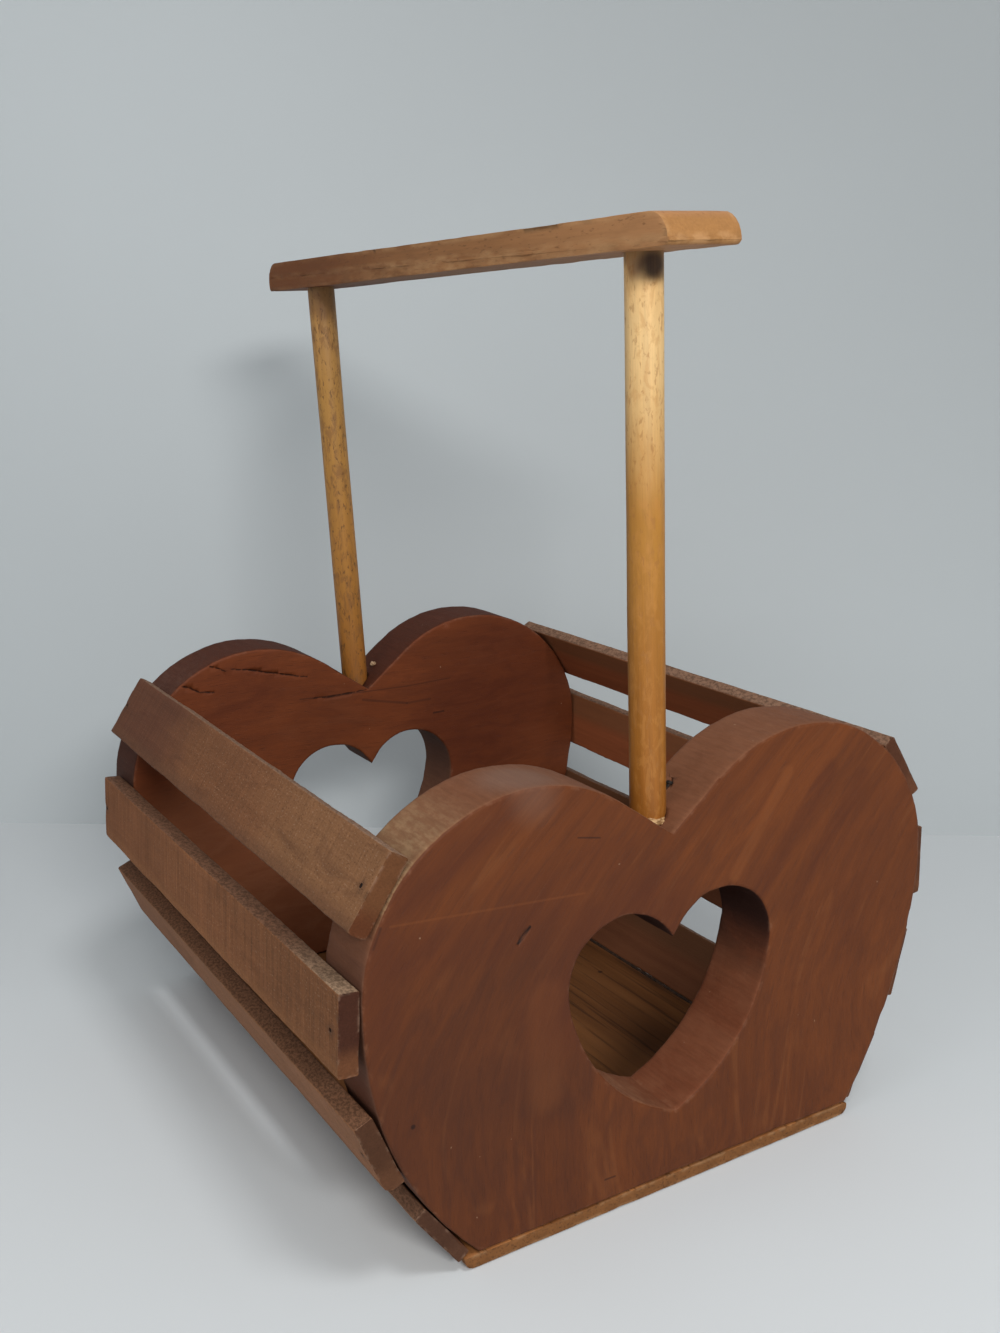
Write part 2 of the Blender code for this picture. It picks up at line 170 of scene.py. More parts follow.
class Shade:
    """One output of a material's node. Sums with it add the Math nodes that they need."""

    def __init__(self, finish, socket):
        self.finish = finish
        self.socket = socket

    def __add__(self, other):
        return self.finish.maths("ADD", self, other)

    def __radd__(self, other):
        return self.finish.maths("ADD", other, self)

    def __sub__(self, other):
        return self.finish.maths("SUBTRACT", self, other)

    def __rsub__(self, other):
        return self.finish.maths("SUBTRACT", other, self)

    def __mul__(self, other):
        return self.finish.maths("MULTIPLY", self, other)

    def __rmul__(self, other):
        return self.finish.maths("MULTIPLY", other, self)

    def __abs__(self):
        return self.finish.maths("ABSOLUTE", self, 0.0)


class Finish:
    """A material, built node by node."""

    def __init__(self, name):
        self.material = bpy.data.materials.new(name)
        self.material.use_nodes = True
        self.tree = self.material.node_tree
        self.tree.nodes.clear()

    def node(self, kind, settings=None, inputs=None, output=0):
        """Adds a shader node, sets it, fills or links its sockets, and gives one output."""
        made = self.tree.nodes.new("ShaderNode" + kind)
        for key, value in (settings or {}).items():
            setattr(made, key, value)
        for key, value in (inputs or {}).items():
            socket = made.inputs[key]
            if isinstance(value, Shade):
                self.tree.links.new(value.socket, socket)
            elif socket.type == "RGBA":
                socket.default_value = (*value, 1.0)
            else:
                socket.default_value = value
        return Shade(self, made.outputs[output]) if made.outputs else None

    def maths(self, operation, first, second):
        return self.node("Math", {"operation": operation}, {0: first, 1: second})

    def vector_maths(self, operation, first, second, output="Vector"):
        settings = {"operation": operation}
        return self.node("VectorMath", settings, {0: first, 1: second}, output)

    def place(self):
        return self.node("TexCoord", output="Object")

    def facing(self):
        return self.node("NewGeometry", output="Normal")

    def stored(self, name, output="Fac"):
        return self.node("Attribute", {"attribute_name": name}, output=output)

    def parts(self, vector):
        split = self.node("SeparateXYZ", inputs={0: vector})
        return [Shade(self, part) for part in split.socket.node.outputs]

    def stretch(self, vector, sizes):
        return self.vector_maths("MULTIPLY", vector, sizes)

    def shift(self, vector, amounts):
        return self.vector_maths("ADD", vector, amounts)

    def cloud(self, vector, sizes, detail, roughness, distortion=0.0):
        """Soft noise, packed more tightly along a direction the larger its size there is."""
        inputs = {"Vector": self.stretch(vector, sizes), "Scale": 1.0}
        inputs.update({"Detail": detail, "Roughness": roughness, "Distortion": distortion})
        return self.node("TexNoise", inputs=inputs)

    def mask(self, value, low, high):
        """0 up to the low value, rising to 1 at the high one."""
        settings = {"interpolation_type": "SMOOTHSTEP"}
        inputs = {"Value": value, "From Min": low, "From Max": high}
        return self.node("MapRange", settings, inputs)

    def below(self, value, low, high):
        """1 up to the low value, falling to 0 at the high one."""
        return 1 - self.mask(value, low, high)

    def patches(self, vector, sizes, low, high, *character):
        """Soft-edged patches, where a cloud is above a level."""
        return self.mask(self.cloud(vector, sizes, *character), low, high)

    def mix(self, factor, first, second):
        settings = {"data_type": "RGBA"}
        return self.node("Mix", settings, {0: factor, 6: first, 7: second}, output=2)

    def scaled(self, vector, amount):
        """A vector made longer, or a colour made lighter, by a number that varies."""
        settings = {"operation": "SCALE"}
        return self.node("VectorMath", settings, {0: vector, "Scale": amount})

    def length_between(self, place, point):
        return self.vector_maths("DISTANCE", place, point, "Value")

    def spot(self, place, point, radius):
        """1 at a point, falling to 0 at the radius."""
        return self.below(self.length_between(place, point), radius * 0.35, radius)

    def line(self, place, start, end, width):
        """1 on a line between two points, falling to 0 at half the width from it."""
        start, end = Vector(start), Vector(end)
        run = end - start
        reach = self.shift(place, tuple(-start))
        along = self.vector_maths("DOT_PRODUCT", reach, tuple(run / run.length_squared), "Value")
        foot = self.scaled(tuple(run), self.node("Clamp", inputs={0: along}))
        return self.below(self.length_between(reach, foot), width * 0.15, width * 0.5)

    def worn_edge(self, near, far, rub):
        """Where the wood is rubbed, close to a sharp edge."""
        return self.below(self.stored("edge_distance"), near, far) * rub

    def bump(self, height, distance, strength):
        inputs = {"Strength": strength, "Distance": distance, "Height": height}
        return self.node("Bump", inputs=inputs)

    def surface(self, colour, roughness, normal, specular, metallic=0.0):
        inputs = {"Base Color": colour, "Roughness": roughness, "Normal": normal}
        inputs.update({"Specular IOR Level": specular, "Metallic": metallic})
        shader = self.node("BsdfPrincipled", inputs=inputs)
        self.node("OutputMaterial", inputs={"Surface": shader})
        return self.material


def heart_figure(f, place, grain, tones, painted_light_tilt):
    """Colour of a heart's flat faces: broad bands, smoky streaks, thin growth lines, and painted light and
    shade across the face.
    """
    wide = f.patches(grain, (7, 24, 14), 0.34, 0.66, 2.0, 0.5, 0.6)
    bands = f.patches(grain, (18, 84, 60), 0.32, 0.7, 4.0, 0.62, 1.2)
    smoke = f.patches(grain, (42, 150, 110), 0.42, 0.7, 5.0, 0.66, 1.1)
    fine = f.cloud(grain, (90, 900, 900), 4.0, 0.65, 0.3)
    fibre = f.cloud(grain, (70, 2300, 2300), 3.0, 0.6)
    pores = f.patches(grain, (260, 3600, 3600), 0.6, 0.74, 2.0, 0.5)
    rings = f.cloud(grain, (11, 52, 30), 2.5, 0.45, 0.7)
    ring = f.below(abs(rings - 0.5), 0.004, 0.03)
    worn_ring = f.patches(place, (60, 60, 60), 0.42, 0.62, 3.0, 0.6)
    blotch = f.patches(grain, (46, 95, 80), 0.4, 0.66, 5.0, 0.7, 1.4)
    across, _, rise = f.parts(place)
    # lit is painted light and shade: the face is made lighter towards one side and darker towards the
    # other.
    lit = f.mask(across * painted_light_tilt[0] + rise * painted_light_tilt[1], -0.035, 0.085)
    colour = f.mix(wide * 0.25 + bands * 0.35 + lit * 0.4, tones["dark"], tones["light"])
    colour = f.mix(smoke * (0.52 - lit * 0.24), colour, tones["smoke"])
    colour = f.mix(blotch * (0.34 - lit * 0.1), colour, tones["smoke"])
    colour = f.mix(ring * worn_ring * 0.26, colour, tones["ring"])
    colour = f.scaled(colour, 0.72 + fine * 0.2 + fibre * 0.22)
    colour = f.mix(pores * 0.35, colour, shaded(tones["dark"], 0.45))
    return colour, fibre, pores, smoke


def heart_wall(f, place, side, tones):
    """Colour of a heart's edges: dusty and lighter on top as painted light, darker on steep and downward
    faces as painted shade, redder and smoother inside the cut-out, whose upper part is darkened as painted
    shade.
    """
    # The tops of the edges are made lighter, by dust and by painted light; steep and downward faces take a
    # darker tone as painted shade.
    upward = f.mask(side[2], -0.6, 0.75)
    saw = f.cloud(place, (1300, 110, 1300), 4.0, 0.65)
    dust = f.patches(place, (700, 240, 700), 0.4, 0.66, 4.0, 0.68, 0.3)
    drift = f.patches(place, (75, 60, 75), 0.36, 0.66, 3.0, 0.6, 0.5)
    colour = f.mix(dust * 0.3 + drift * 0.25 + upward * 0.45, tones["wall_dark"], tones["wall_dust_and_top_light"])
    colour = f.mix(f.below(side[2], 0.05, 0.55) * 0.8, colour, tones["wall_steep_shade"])
    left, _, rise = f.parts(place)
    grey = f.mask(0 - left, 0.045, 0.066) * f.mask(rise, FOOT + 0.08, FOOT + 0.088) * upward
    colour = f.mix(grey * (0.35 + dust * 0.45), colour, tones["wall_grey"])
    from_middle = f.length_between(f.stretch(place, (1, 0, 1)), on_flat(0.0, CUTOUT_RISE))
    hole = f.below(from_middle, CUTOUT_REACH - 0.002, CUTOUT_REACH + 0.002)
    # depth is painted shade: the cut-out's wall goes darker towards its top.
    depth = f.mask(rise + drift * 0.004, FOOT + 0.043, FOOT + 0.058)
    inside = f.mix(drift * 0.5 + dust * 0.2, tones["hole_red"], tones["hole_light"])
    tan = f.mask(MIDDLE - left, -0.004, 0.012) * (0.45 + dust * 0.55)
    inside = f.mix(tan * 0.75, inside, tones["hole_tan"])
    inside = f.mix(depth, inside, tones["hole_high_shade"])
    colour = f.mix(hole, colour, inside)
    return f.scaled(colour, 0.74 + saw * 0.52), saw, hole


def heart_finish(name, tones, at, seed, painted_light_tilt, zones, marks):
    """Stained, lightly oiled board, with its grain from an attribute.

    Zones are soft bands between two points of the flat faces. Marks are thin lines, or spots where there
    is no second point. Both end with width, colour and strength.
    """
    f = Finish(name)
    place = f.place()
    grain = f.shift(f.stored("grain", "Vector"), (seed, seed * 0.7, 0.0))
    colour, fibre, pores, smoke = heart_figure(f, place, grain, tones, painted_light_tilt)
    flat_place = f.stretch(place, (1, 0, 1))
    for start, end, width, tone, strength in zones:
        there = f.line(flat_place, on_flat(*start), on_flat(*end), width)
        colour = f.mix(there * (strength * 0.75 + smoke * strength * 0.5), colour, tone)
    side = f.parts(f.facing())
    flat = f.mask(abs(side[1]), 0.35, 0.75)
    wall, saw, hole = heart_wall(f, place, side, tones)
    colour = f.mix(flat, wall, colour)

    rim = f.worn_edge(0.0002, 0.0009, f.patches(place, (330, 330, 330), 0.5, 0.66, 3.0, 0.6))
    colour = f.mix(rim * 0.22, colour, tones["worn"])
    crack = f.below(f.stored("crack_distance"), 0.0001, 0.0005)
    colour = f.mix(crack * 0.88, colour, CRACK_DARK)
    pale = f.patches(place, (620, 620, 620), 0.795, 0.825, 1.0, 0.5)
    colour = f.mix(pale * 0.55, colour, BOARD_FLECK)
    for first, second, width, tone, strength in marks:
        if second:
            there = f.line(place, at(*first), at(*second), width)
        else:
            there = f.spot(place, at(*first), width)
        colour = f.mix(there * strength, colour, tone)

    roughness = 0.48 + fibre * 0.14 + (1 - flat) * 0.2
    relief = fibre * 0.5 - pores * 0.7 + saw * (1 - flat) * (1 - hole * 0.6)
    return f.surface(colour, roughness, f.bump(relief, 0.00012, 0.55), specular=0.12)


def slat_finish(name, tones, seed, cross_lines, rough_look):
    """Old thin slat: weathered outside, darker inside, furry on its upper edge, paler towards the front
    partly as painted light.
    """
    f = Finish(name)
    place = f.place()
    raw = f.stored("grain", "Vector")
    grain = f.shift(raw, (seed, seed * 0.37, seed * 0.11))
    along, across, _ = f.parts(raw)
    endwise, upright, outward = f.parts(f.stored("facet", "Vector"))
    drift = f.cloud(grain, (30, 60, 60), 3.0, 0.6) * 0.05 - 0.025
    run = along + drift
    # Paler at the front and darker at the rear: partly the wood's own tone, partly painted light falling
    # off towards the rear.
    colour = f.mix(f.mask(run, -0.06, -0.005), tones["front"], tones["middle"])
    colour = f.mix(f.mask(run, 0.018, 0.056), colour, tones["rear"])
    streak = f.cloud(grain, (26, 520, 520), 4.0, 0.62, 0.3)
    fibre = f.cloud(grain, (150, 2600, 2600), 3.0, 0.6)
    cross = f.cloud(grain, (1100, 42, 60), 4.0, 0.65)
    speck = f.cloud(grain, (1300, 2300, 2300), 2.0, 0.6)
    calm = f.mask(run, 0.01, 0.05) * (1 - rough_look)
    busy = 1 - calm * 0.75
    dark_speck = f.below(speck, 0.3, 0.43)
    pale_speck = f.mask(speck, 0.59, 0.72)
    colour = f.scaled(colour, 0.6 + streak * 0.44 + fibre * 0.26 + (cross - 0.5) * cross_lines)
    colour = f.mix(dark_speck * busy * 0.55, colour, shaded(tones["middle"], 0.4))
    colour = f.mix(pale_speck * busy * 0.42, colour, SLAT_FLECK)
    stain = f.patches(grain, (45, 130, 130), 0.52, 0.72, 4.0, 0.65, 0.6)
    colour = f.mix(stain * 0.38, colour, shaded(tones["rear"], 0.58))

    inside = f.mask(0 - outward, 0.35, 0.8)
    inner = f.scaled(tones["inner"], 0.62 + streak * 0.56 + fibre * 0.2)
    shallow = f.mask(across + drift * 0.06, -0.001, 0.004)
    inner = f.mix(shallow * 0.55, inner, tones["inner_upper"])
    colour = f.mix(inside, colour, inner)

    upper = f.mask(upright, 0.45, 0.85)
    lower = f.mask(0 - upright, 0.45, 0.85)
    fur = f.patches(grain, (1000, 1500, 1500), 0.36, 0.64, 3.0, 0.7)
    to_front = f.below(along, -0.084, -0.05)
    upper_tone = f.mix(to_front, tones["upper"], tones["upper_front"])
    upper_tone = f.scaled(upper_tone, 0.5 + fur * 0.75 + streak * 0.2)
    colour = f.mix(upper * 0.92, colour, upper_tone)
    lower_tone = f.scaled(tones["lower"], 0.6 + streak * 0.4 + fur * 0.35)
    colour = f.mix(lower * 0.85, colour, lower_tone)
    low_band = f.below(across + drift * 0.05, -0.0082, -0.0048)
    colour = f.mix(low_band * (1 - inside) * 0.55, colour, lower_tone)

    end = f.mask(abs(endwise), 0.5, 0.85)
    end_tone = f.mix(f.mask(across + drift * 0.05, -0.0065, -0.0015), tones["end_low"], tones["end_top"])
    end_tone = f.scaled(end_tone, 0.52 + streak * 0.45 + speck * 0.5)
    colour = f.mix(end, colour, end_tone)
    rim = f.worn_edge(0.0001, 0.0008, f.patches(place, (520, 520, 520), 0.46, 0.66, 3.0, 0.65))
    colour = f.mix(rim * 0.35, colour, SLAT_RIM)
    bruise = f.below(f.stored("nail_distance"), 0.0006, 0.0026) * (0.35 + fur * 0.5)
    colour = f.mix(bruise * 0.55, colour, NAIL_BRUISE)
    relief = streak * 0.35 + fibre * 0.4 + cross * 0.4 + speck * 0.5
    return f.surface(colour, 0.66 + fibre * 0.16, f.bump(relief, 0.00015, 0.7), specular=0.1)


def floor_finish(name):
    """Bare thin board: brown and lined on top, tan and flecked at its edges, with painted light on its top
    near the front heart.
    """
    f = Finish(name)
    place = f.place()
    grain = f.stored("grain", "Vector")
    streak = f.cloud(grain, (14, 420, 420), 4.0, 0.6, 0.4)
    bands = f.cloud(grain, (6, 75, 75), 2.0, 0.5, 0.5)
    lines = f.patches(grain, (20, 800, 800), 0.53, 0.68, 3.0, 0.6)
    fleck = f.patches(grain, (330, 2000, 2000), 0.54, 0.68, 3.0, 0.6)
    colour = f.mix(f.mask(bands, 0.35, 0.65), FLOOR_DARK, FLOOR_LIGHT)
    # Painted light: the top of the floor is made lighter close to the front heart.
    painted_light_near_front = f.below(f.parts(place)[1], -0.07, -0.036)
    colour = f.scaled(colour, (0.66 + streak * 0.62) * (1 + painted_light_near_front * 1.3))
    colour = f.mix(lines * 0.62, colour, FLOOR_LINE)
    flat = f.mask(abs(f.parts(f.facing())[2]), 0.55, 0.92)
    edge_colour = f.scaled(FLOOR_EDGE, 0.6 + streak * 0.72)
    edge_colour = f.mix(fleck * 0.75, edge_colour, FLOOR_EDGE_FLECK)
    colour = f.mix(flat, edge_colour, colour)
    rim = f.worn_edge(0.0002, 0.001, f.patches(place, (300, 300, 300), 0.4, 0.62, 3.0, 0.6))
    colour = f.mix(rim * 0.45, colour, FLOOR_RIM)
    knot = f.spot(place, (MIDDLE + 0.0448, 0.0061, floor_high.z), 0.0011)
    colour = f.mix(knot * 0.85, colour, FLOOR_KNOT)
    relief = streak * 0.5 - lines * 0.4 - fleck * 0.5
    return f.surface(colour, 0.58 + streak * 0.14, f.bump(relief, 0.00012, 0.5), specular=0.1)


def post_finish(name, stops, seed, mottle, patch_tone, fleck_tone, dark_spots):
    """Birch dowel under old varnish. Its colour changes from the foot to the top, lighter upwards partly as
    painted light.
    """
    f = Finish(name)
    place = f.shift(f.place(), (seed, 0.0, 0.0))
    level = f.parts(f.place())[2] + (f.cloud(place, (90, 90, 22), 3.0, 0.6) * 0.03 - 0.015)
    colour = stops[0][1]
    for (low, _), (high, tone) in zip(stops, stops[1:]):
        colour = f.mix(f.mask(level, low, high), colour, tone)
    streak = f.cloud(place, (900, 900, 26), 4.0, 0.6, 0.2)
    fibre = f.cloud(place, (2600, 2600, 160), 3.0, 0.6)
    fleck = f.patches(place, (1100, 1100, 420), 0.56, 0.67, 3.0, 0.62, 0.4)
    patch = f.patches(place, (420, 420, 170), 0.48, 0.62, 4.0, 0.72, 0.7)
    colour = f.scaled(colour, 0.62 + streak * 0.48 + fibre * 0.28)
    colour = f.mix(patch * mottle, colour, patch_tone)
    colour = f.mix(fleck * (0.18 + mottle * 0.9), colour, fleck_tone)
    for point, radius, strength in dark_spots:
        there = f.spot(f.place(), point, radius) * (0.6 + streak * 0.7)
        colour = f.mix(there * strength, colour, DARK_MARK)
    relief = streak * 0.4 + fibre * 0.3 - fleck * 0.5
    return f.surface(colour, 0.4 + streak * 0.18, f.bump(relief, 0.0001, 0.5), specular=0.3)


def bar_finish(name):
    """Stained bar, paler towards the front partly as painted light, worn pale along its corners and orange
    on its ends.
    """
    f = Finish(name)
    place = f.place()
    _, along, up = f.parts(place)
    streak = f.cloud(place, (700, 24, 700), 4.0, 0.6, 0.3)
    fibre = f.cloud(place, (2400, 140, 2400), 3.0, 0.6)
    fleck = f.patches(place, (1800, 420, 1800), 0.6, 0.72, 2.0, 0.5)
    # The bar is paler towards the front and darker towards the rear: partly its own tone, partly painted
    # light falling off towards the rear.
    level = along + (f.cloud(place, (60, 20, 60), 3.0, 0.6) * 0.06 - 0.03)
    colour = f.mix(f.mask(level, -0.098, -0.03), BAR_FRONT, BAR_MIDDLE)
    colour = f.mix(f.mask(level, -0.02, 0.08), colour, BAR_REAR)
    colour = f.scaled(colour, 0.66 + streak * 0.45 + fibre * 0.23)
    colour = f.mix(fleck * 0.4, colour, BAR_FLECK)
    end = f.mask(abs(f.parts(f.facing())[1]), 0.25, 0.75)
    colour = f.mix(end, colour, f.scaled(BAR_END, 0.75 + fibre * 0.45))
    rim = f.worn_edge(0.0004, 0.0015, f.patches(place, (260, 70, 260), 0.38, 0.62, 4.0, 0.65))
    front_share = f.below(level, -0.01, 0.07)
    colour = f.mix(rim * (0.14 + front_share * 0.42), colour, BAR_RIM)
    # Dark smudges all over the bar, made heavier on its lower part as painted shade.
    smudge = f.patches(place, (300, 90, 300), 0.44, 0.74, 5.0, 0.68, 0.4)
    low = f.below(up, floor_high.z + 0.212, floor_high.z + 0.2165)
    colour = f.mix(smudge * (0.12 + low * 0.3), colour, BAR_SMUDGE_AND_SHADE)
    relief = streak * 0.4 + fibre * 0.5 - fleck * 0.6
    return f.surface(colour, 0.5 + streak * 0.18, f.bump(relief, 0.00012, 0.5), specular=0.12)


def iron_finish(name):
    """Dull old nail heads with a little rust."""
    f = Finish(name)
    rust = f.patches(f.place(), (1400, 1400, 1400), 0.45, 0.65, 3.0, 0.6)
    colour = f.mix(rust, IRON_BLACK, IRON_RUST)
    return f.surface(colour, 0.6 + rust * 0.25, f.bump(rust, 0.00003, 0.5), specular=0.2, metallic=0.25)


def glue_finish(name, dark, light):
    """Old chipped glue and a pale splinter of wood; also the dark strip of painted shade in the floor's
    joint.
    """
    f = Finish(name)
    chip = f.cloud(f.place(), (900, 900, 900), 3.0, 0.6)
    colour = f.mix(f.mask(chip, 0.38, 0.66), dark, light)
    return f.surface(colour, 0.5 + chip * 0.2, f.bump(chip, 0.00015, 0.5), specular=0.25)


def plain_finish(name, colour, roughness, one_sided, fade):
    """Flat paint for the table or the wall, with painted shade that darkens it along a direction, from a
    start to an end.
    """
    f = Finish(name)
    place = f.place()
    soft = f.cloud(place, (9, 9, 9), 2.0, 0.5)
    direction, start, end, painted_shade_depth = fade
    reach = f.vector_maths("DOT_PRODUCT", place, direction, "Value")
    shade = f.scaled(colour, (0.985 + soft * 0.03) * (1 - f.mask(reach, start, end) * painted_shade_depth))
    inputs = {"Base Color": shade, "Roughness": roughness, "Specular IOR Level": 0.2}
    shader = f.node("BsdfPrincipled", inputs=inputs)
    if one_sided:
        back = f.node("NewGeometry", output="Backfacing")
        clear = f.node("BsdfTransparent")
        shader = f.node("MixShader", inputs={0: back, 1: shader, 2: clear})
    f.node("OutputMaterial", inputs={"Surface": shader})
    return f.material


def merged_copy(node):
    """A closed mesh of a CAD node, with its flat faces whole again."""
    bm = bmesh.new()
    bm.from_mesh(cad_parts[node].data)
    bmesh.ops.remove_doubles(bm, verts=bm.verts[:], dist=SOLID_MERGE)
    bmesh.ops.dissolve_limit(bm, angle_limit=math.radians(1.0), verts=bm.verts[:], edges=bm.edges[:])
    bm.normal_update()
    return bm


def sharp_edges(bm, least_turn, shortest):
    """Edges where the surface turns by so many degrees, apart from very short ones."""
    return [
        edge for edge in bm.edges
        if math.degrees(edge.calc_face_angle(0.0)) >= least_turn and edge.calc_length() >= shortest
    ]


def middle_of(points):
    return sum(points, Vector()) / len(points)


def point_tree(points):
    """Finds the nearest of some points."""
    tree = kdtree.KDTree(len(points))
    for index, point in enumerate(points):
        tree.insert(point, index)
    tree.balance()
    return tree


def edge_points(bm):
    """A tree of points along the sharp edges, to measure wear from."""
    found = []
    for edge in sharp_edges(bm, WORN_TURN, WORN_LENGTH):
        first, second = (vert.co for vert in edge.verts)
        count = max(1, math.ceil((second - first).length / WORN_SPACING))
        found += [first.lerp(second, step / count) for step in range(count + 1)]
    return point_tree(found)


def ease_edges(bm, edges, offset, segments=EASE_STEPS):
    """Rounds sharp edges a little."""
    bmesh.ops.bevel(
        bm, geom=edges, offset=offset, affect="EDGES",
        segments=segments, profile=0.5, material=-1, clamp_overlap=True,
    )
    bm.normal_update()


def cut_net(bm, direction, spacing):
    """Slices the mesh square to a direction, so that its faces are no wider than the spacing."""
    direction = Vector(direction).normalized()
    reaches = [vert.co.dot(direction) for vert in bm.verts]
    low, high = min(reaches), max(reaches)
    count = math.ceil((high - low) / spacing)
    for step in range(1, count):
        level = low + (high - low) * step / count
        bmesh.ops.bisect_plane(
            bm, geom=bm.verts[:] + bm.edges[:] + bm.faces[:], dist=CUT_MERGE,
            plane_co=direction * level, plane_no=direction,
        )
    bm.normal_update()


def new_object(name, data):
    """An object in the scene, at the origin."""
    made = bpy.data.objects.new(name, data)
    bpy.context.scene.collection.objects.link(made)
    return made


def tapered_line(points, width):
    """A mesh that is thin at both ends, laid along points, for cutting a crack."""
    curve = bpy.data.curves.new("crack", "CURVE")
    curve.dimensions = "3D"
    curve.bevel_depth = width / 2
    curve.bevel_resolution = 1
    curve.use_fill_caps = True
    spline = curve.splines.new("POLY")
    last = len(points) - 1
    spline.points.add(last)
    for index, point in enumerate(points):
        spline.points[index].co = (*point, 1.0)
        spline.points[index].radius = CRACK_TIP + math.sin(math.pi * index / last) * (1.0 - CRACK_TIP)
    holder = new_object("crack", curve)
    shown = holder.evaluated_get(bpy.context.evaluated_depsgraph_get())
    mesh = bpy.data.meshes.new_from_object(shown)
    bpy.data.objects.remove(holder)
    bpy.data.curves.remove(curve)
    return mesh


def crack_path(corners, wander, seed, spacing=0.001):
    """Points along a slightly unsteady line."""
    path = []
    for first, second in zip(corners, corners[1:]):
        first, second = Vector(first), Vector(second)
        count = max(2, round((second - first).length / spacing))
        for step in range(count):
            point = first.lerp(second, step / count)
            sway = noise.noise(Vector((point.x * CRACK_SWAY_SIZE, seed, point.z * CRACK_SWAY_SIZE)))
            path.append(point + Vector((0.0, 0.0, sway * wander)))
    path.append(Vector(corners[-1]))
    return path


def cut_cracks(bm, cracks):
    """Cuts each crack into the board's face as a shallow groove."""
    board = bpy.data.meshes.new("board")
    bm.to_mesh(board)
    bm.free()
    holder = new_object("board", board)
    cutters = []
    for path, width in cracks:
        mesh = tapered_line(path, width)
        tidy = bmesh.new()
        tidy.from_mesh(mesh)
        bmesh.ops.remove_doubles(tidy, verts=tidy.verts[:], dist=CUT_MERGE)
        bmesh.ops.recalc_face_normals(tidy, faces=tidy.faces[:])
        tidy.to_mesh(mesh)
        tidy.free()
        cutters.append(new_object("cutter", mesh))
        cut = holder.modifiers.new("cut", "BOOLEAN")
        cut.operation = "DIFFERENCE"
        cut.solver = "EXACT"
        cut.object = cutters[-1]
    bpy.context.view_layer.update()
    shaped = holder.evaluated_get(bpy.context.evaluated_depsgraph_get()).to_mesh()
    made = bmesh.new()
    made.from_mesh(shaped)
    for thing in [*cutters, holder]:
        bpy.data.objects.remove(thing)
    bmesh.ops.remove_doubles(made, verts=made.verts[:], dist=CUT_MERGE)
    made.normal_update()
    return made


def store(bm, name, value_at, kind="float"):
    """Gives every point of the mesh a value, which its finish reads."""
    layers = bm.verts.layers.float_vector if kind == "vector" else bm.verts.layers.float
    layer = layers.new(name)
    for vert in bm.verts:
        vert[layer] = value_at(vert)
    return layer


def store_distance(bm, name, tree):
    return store(bm, name, lambda vert: tree.find(vert.co)[2])


def finished_piece(bm, name, material, nodes, sharp=35.0):
    """Turns the shaped mesh into a piece that rides with the basket."""
    bm.normal_update()
    mesh = bpy.data.meshes.new(name)
    bm.to_mesh(mesh)
    bm.free()
    mesh.shade_smooth()
    mesh.set_sharp_from_angle(angle=math.radians(sharp))
    mesh.materials.append(material)
    piece = new_object(name, mesh)
    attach(piece, BODY)
    if nodes:
        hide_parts(*nodes)


def swell(point, sizes, seed):
    """Soft noise at a point, packed by three sizes."""
    return noise.noise(Vector((point.x * sizes[0] + seed, point.y * sizes[1], point.z * sizes[2])))


def uneven(point, waves, seed):
    """Height of an uneven surface at a point."""
    return sum(swell(point, sizes, seed + shift) * height for sizes, shift, height in waves)


def worn_away(point, edge_distance, wear, seed):
    """How much wood old knocks have taken at a point."""
    reach, sizes, depth = wear
    near = max(0.0, 1.0 - edge_distance / reach)
    return near * max(0.0, swell(point, sizes, seed + WEAR_SEED)) * depth


def solid_points(node):
    return [vert.co.copy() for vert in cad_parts[node].data.vertices]


def nail_line(node):
    """The middle of a nail's head, and the direction from its point to its head."""
    points = solid_points(node)
    middle = middle_of(points)
    tip = max(points, key=lambda point: (point - middle).length)
    reach = max((point - tip).length for point in points)
    head = [point for point in points if (point - tip).length > reach - 0.0003]
    return middle_of(head), (middle_of(head) - tip).normalized()


def close_round_nail(bm, head, direction):
    """Draws the wood's surface in round a nail's head, so that only a small mouth stays."""
    for vert in bm.verts:
        reach = vert.co - head
        depth = reach.dot(direction)
        side = reach - direction * depth
        gap = side.length
        if gap > NAIL_PULL or gap < NAIL_MOUTH * 0.8 or abs(depth) > NAIL_PULL * 0.5:
            continue
        if gap < NAIL_MOUTH * 1.1 and depth < 0.0:
            continue
        fade = min(1.0, max(0.0, (gap - NAIL_MOUTH) / (NAIL_PULL - NAIL_MOUTH)))
        smooth = fade * fade * (3.0 - 2.0 * fade)
        vert.co -= side.normalized() * (NAIL_MOUTH - NAIL_SHOWN) * (1.0 - smooth)


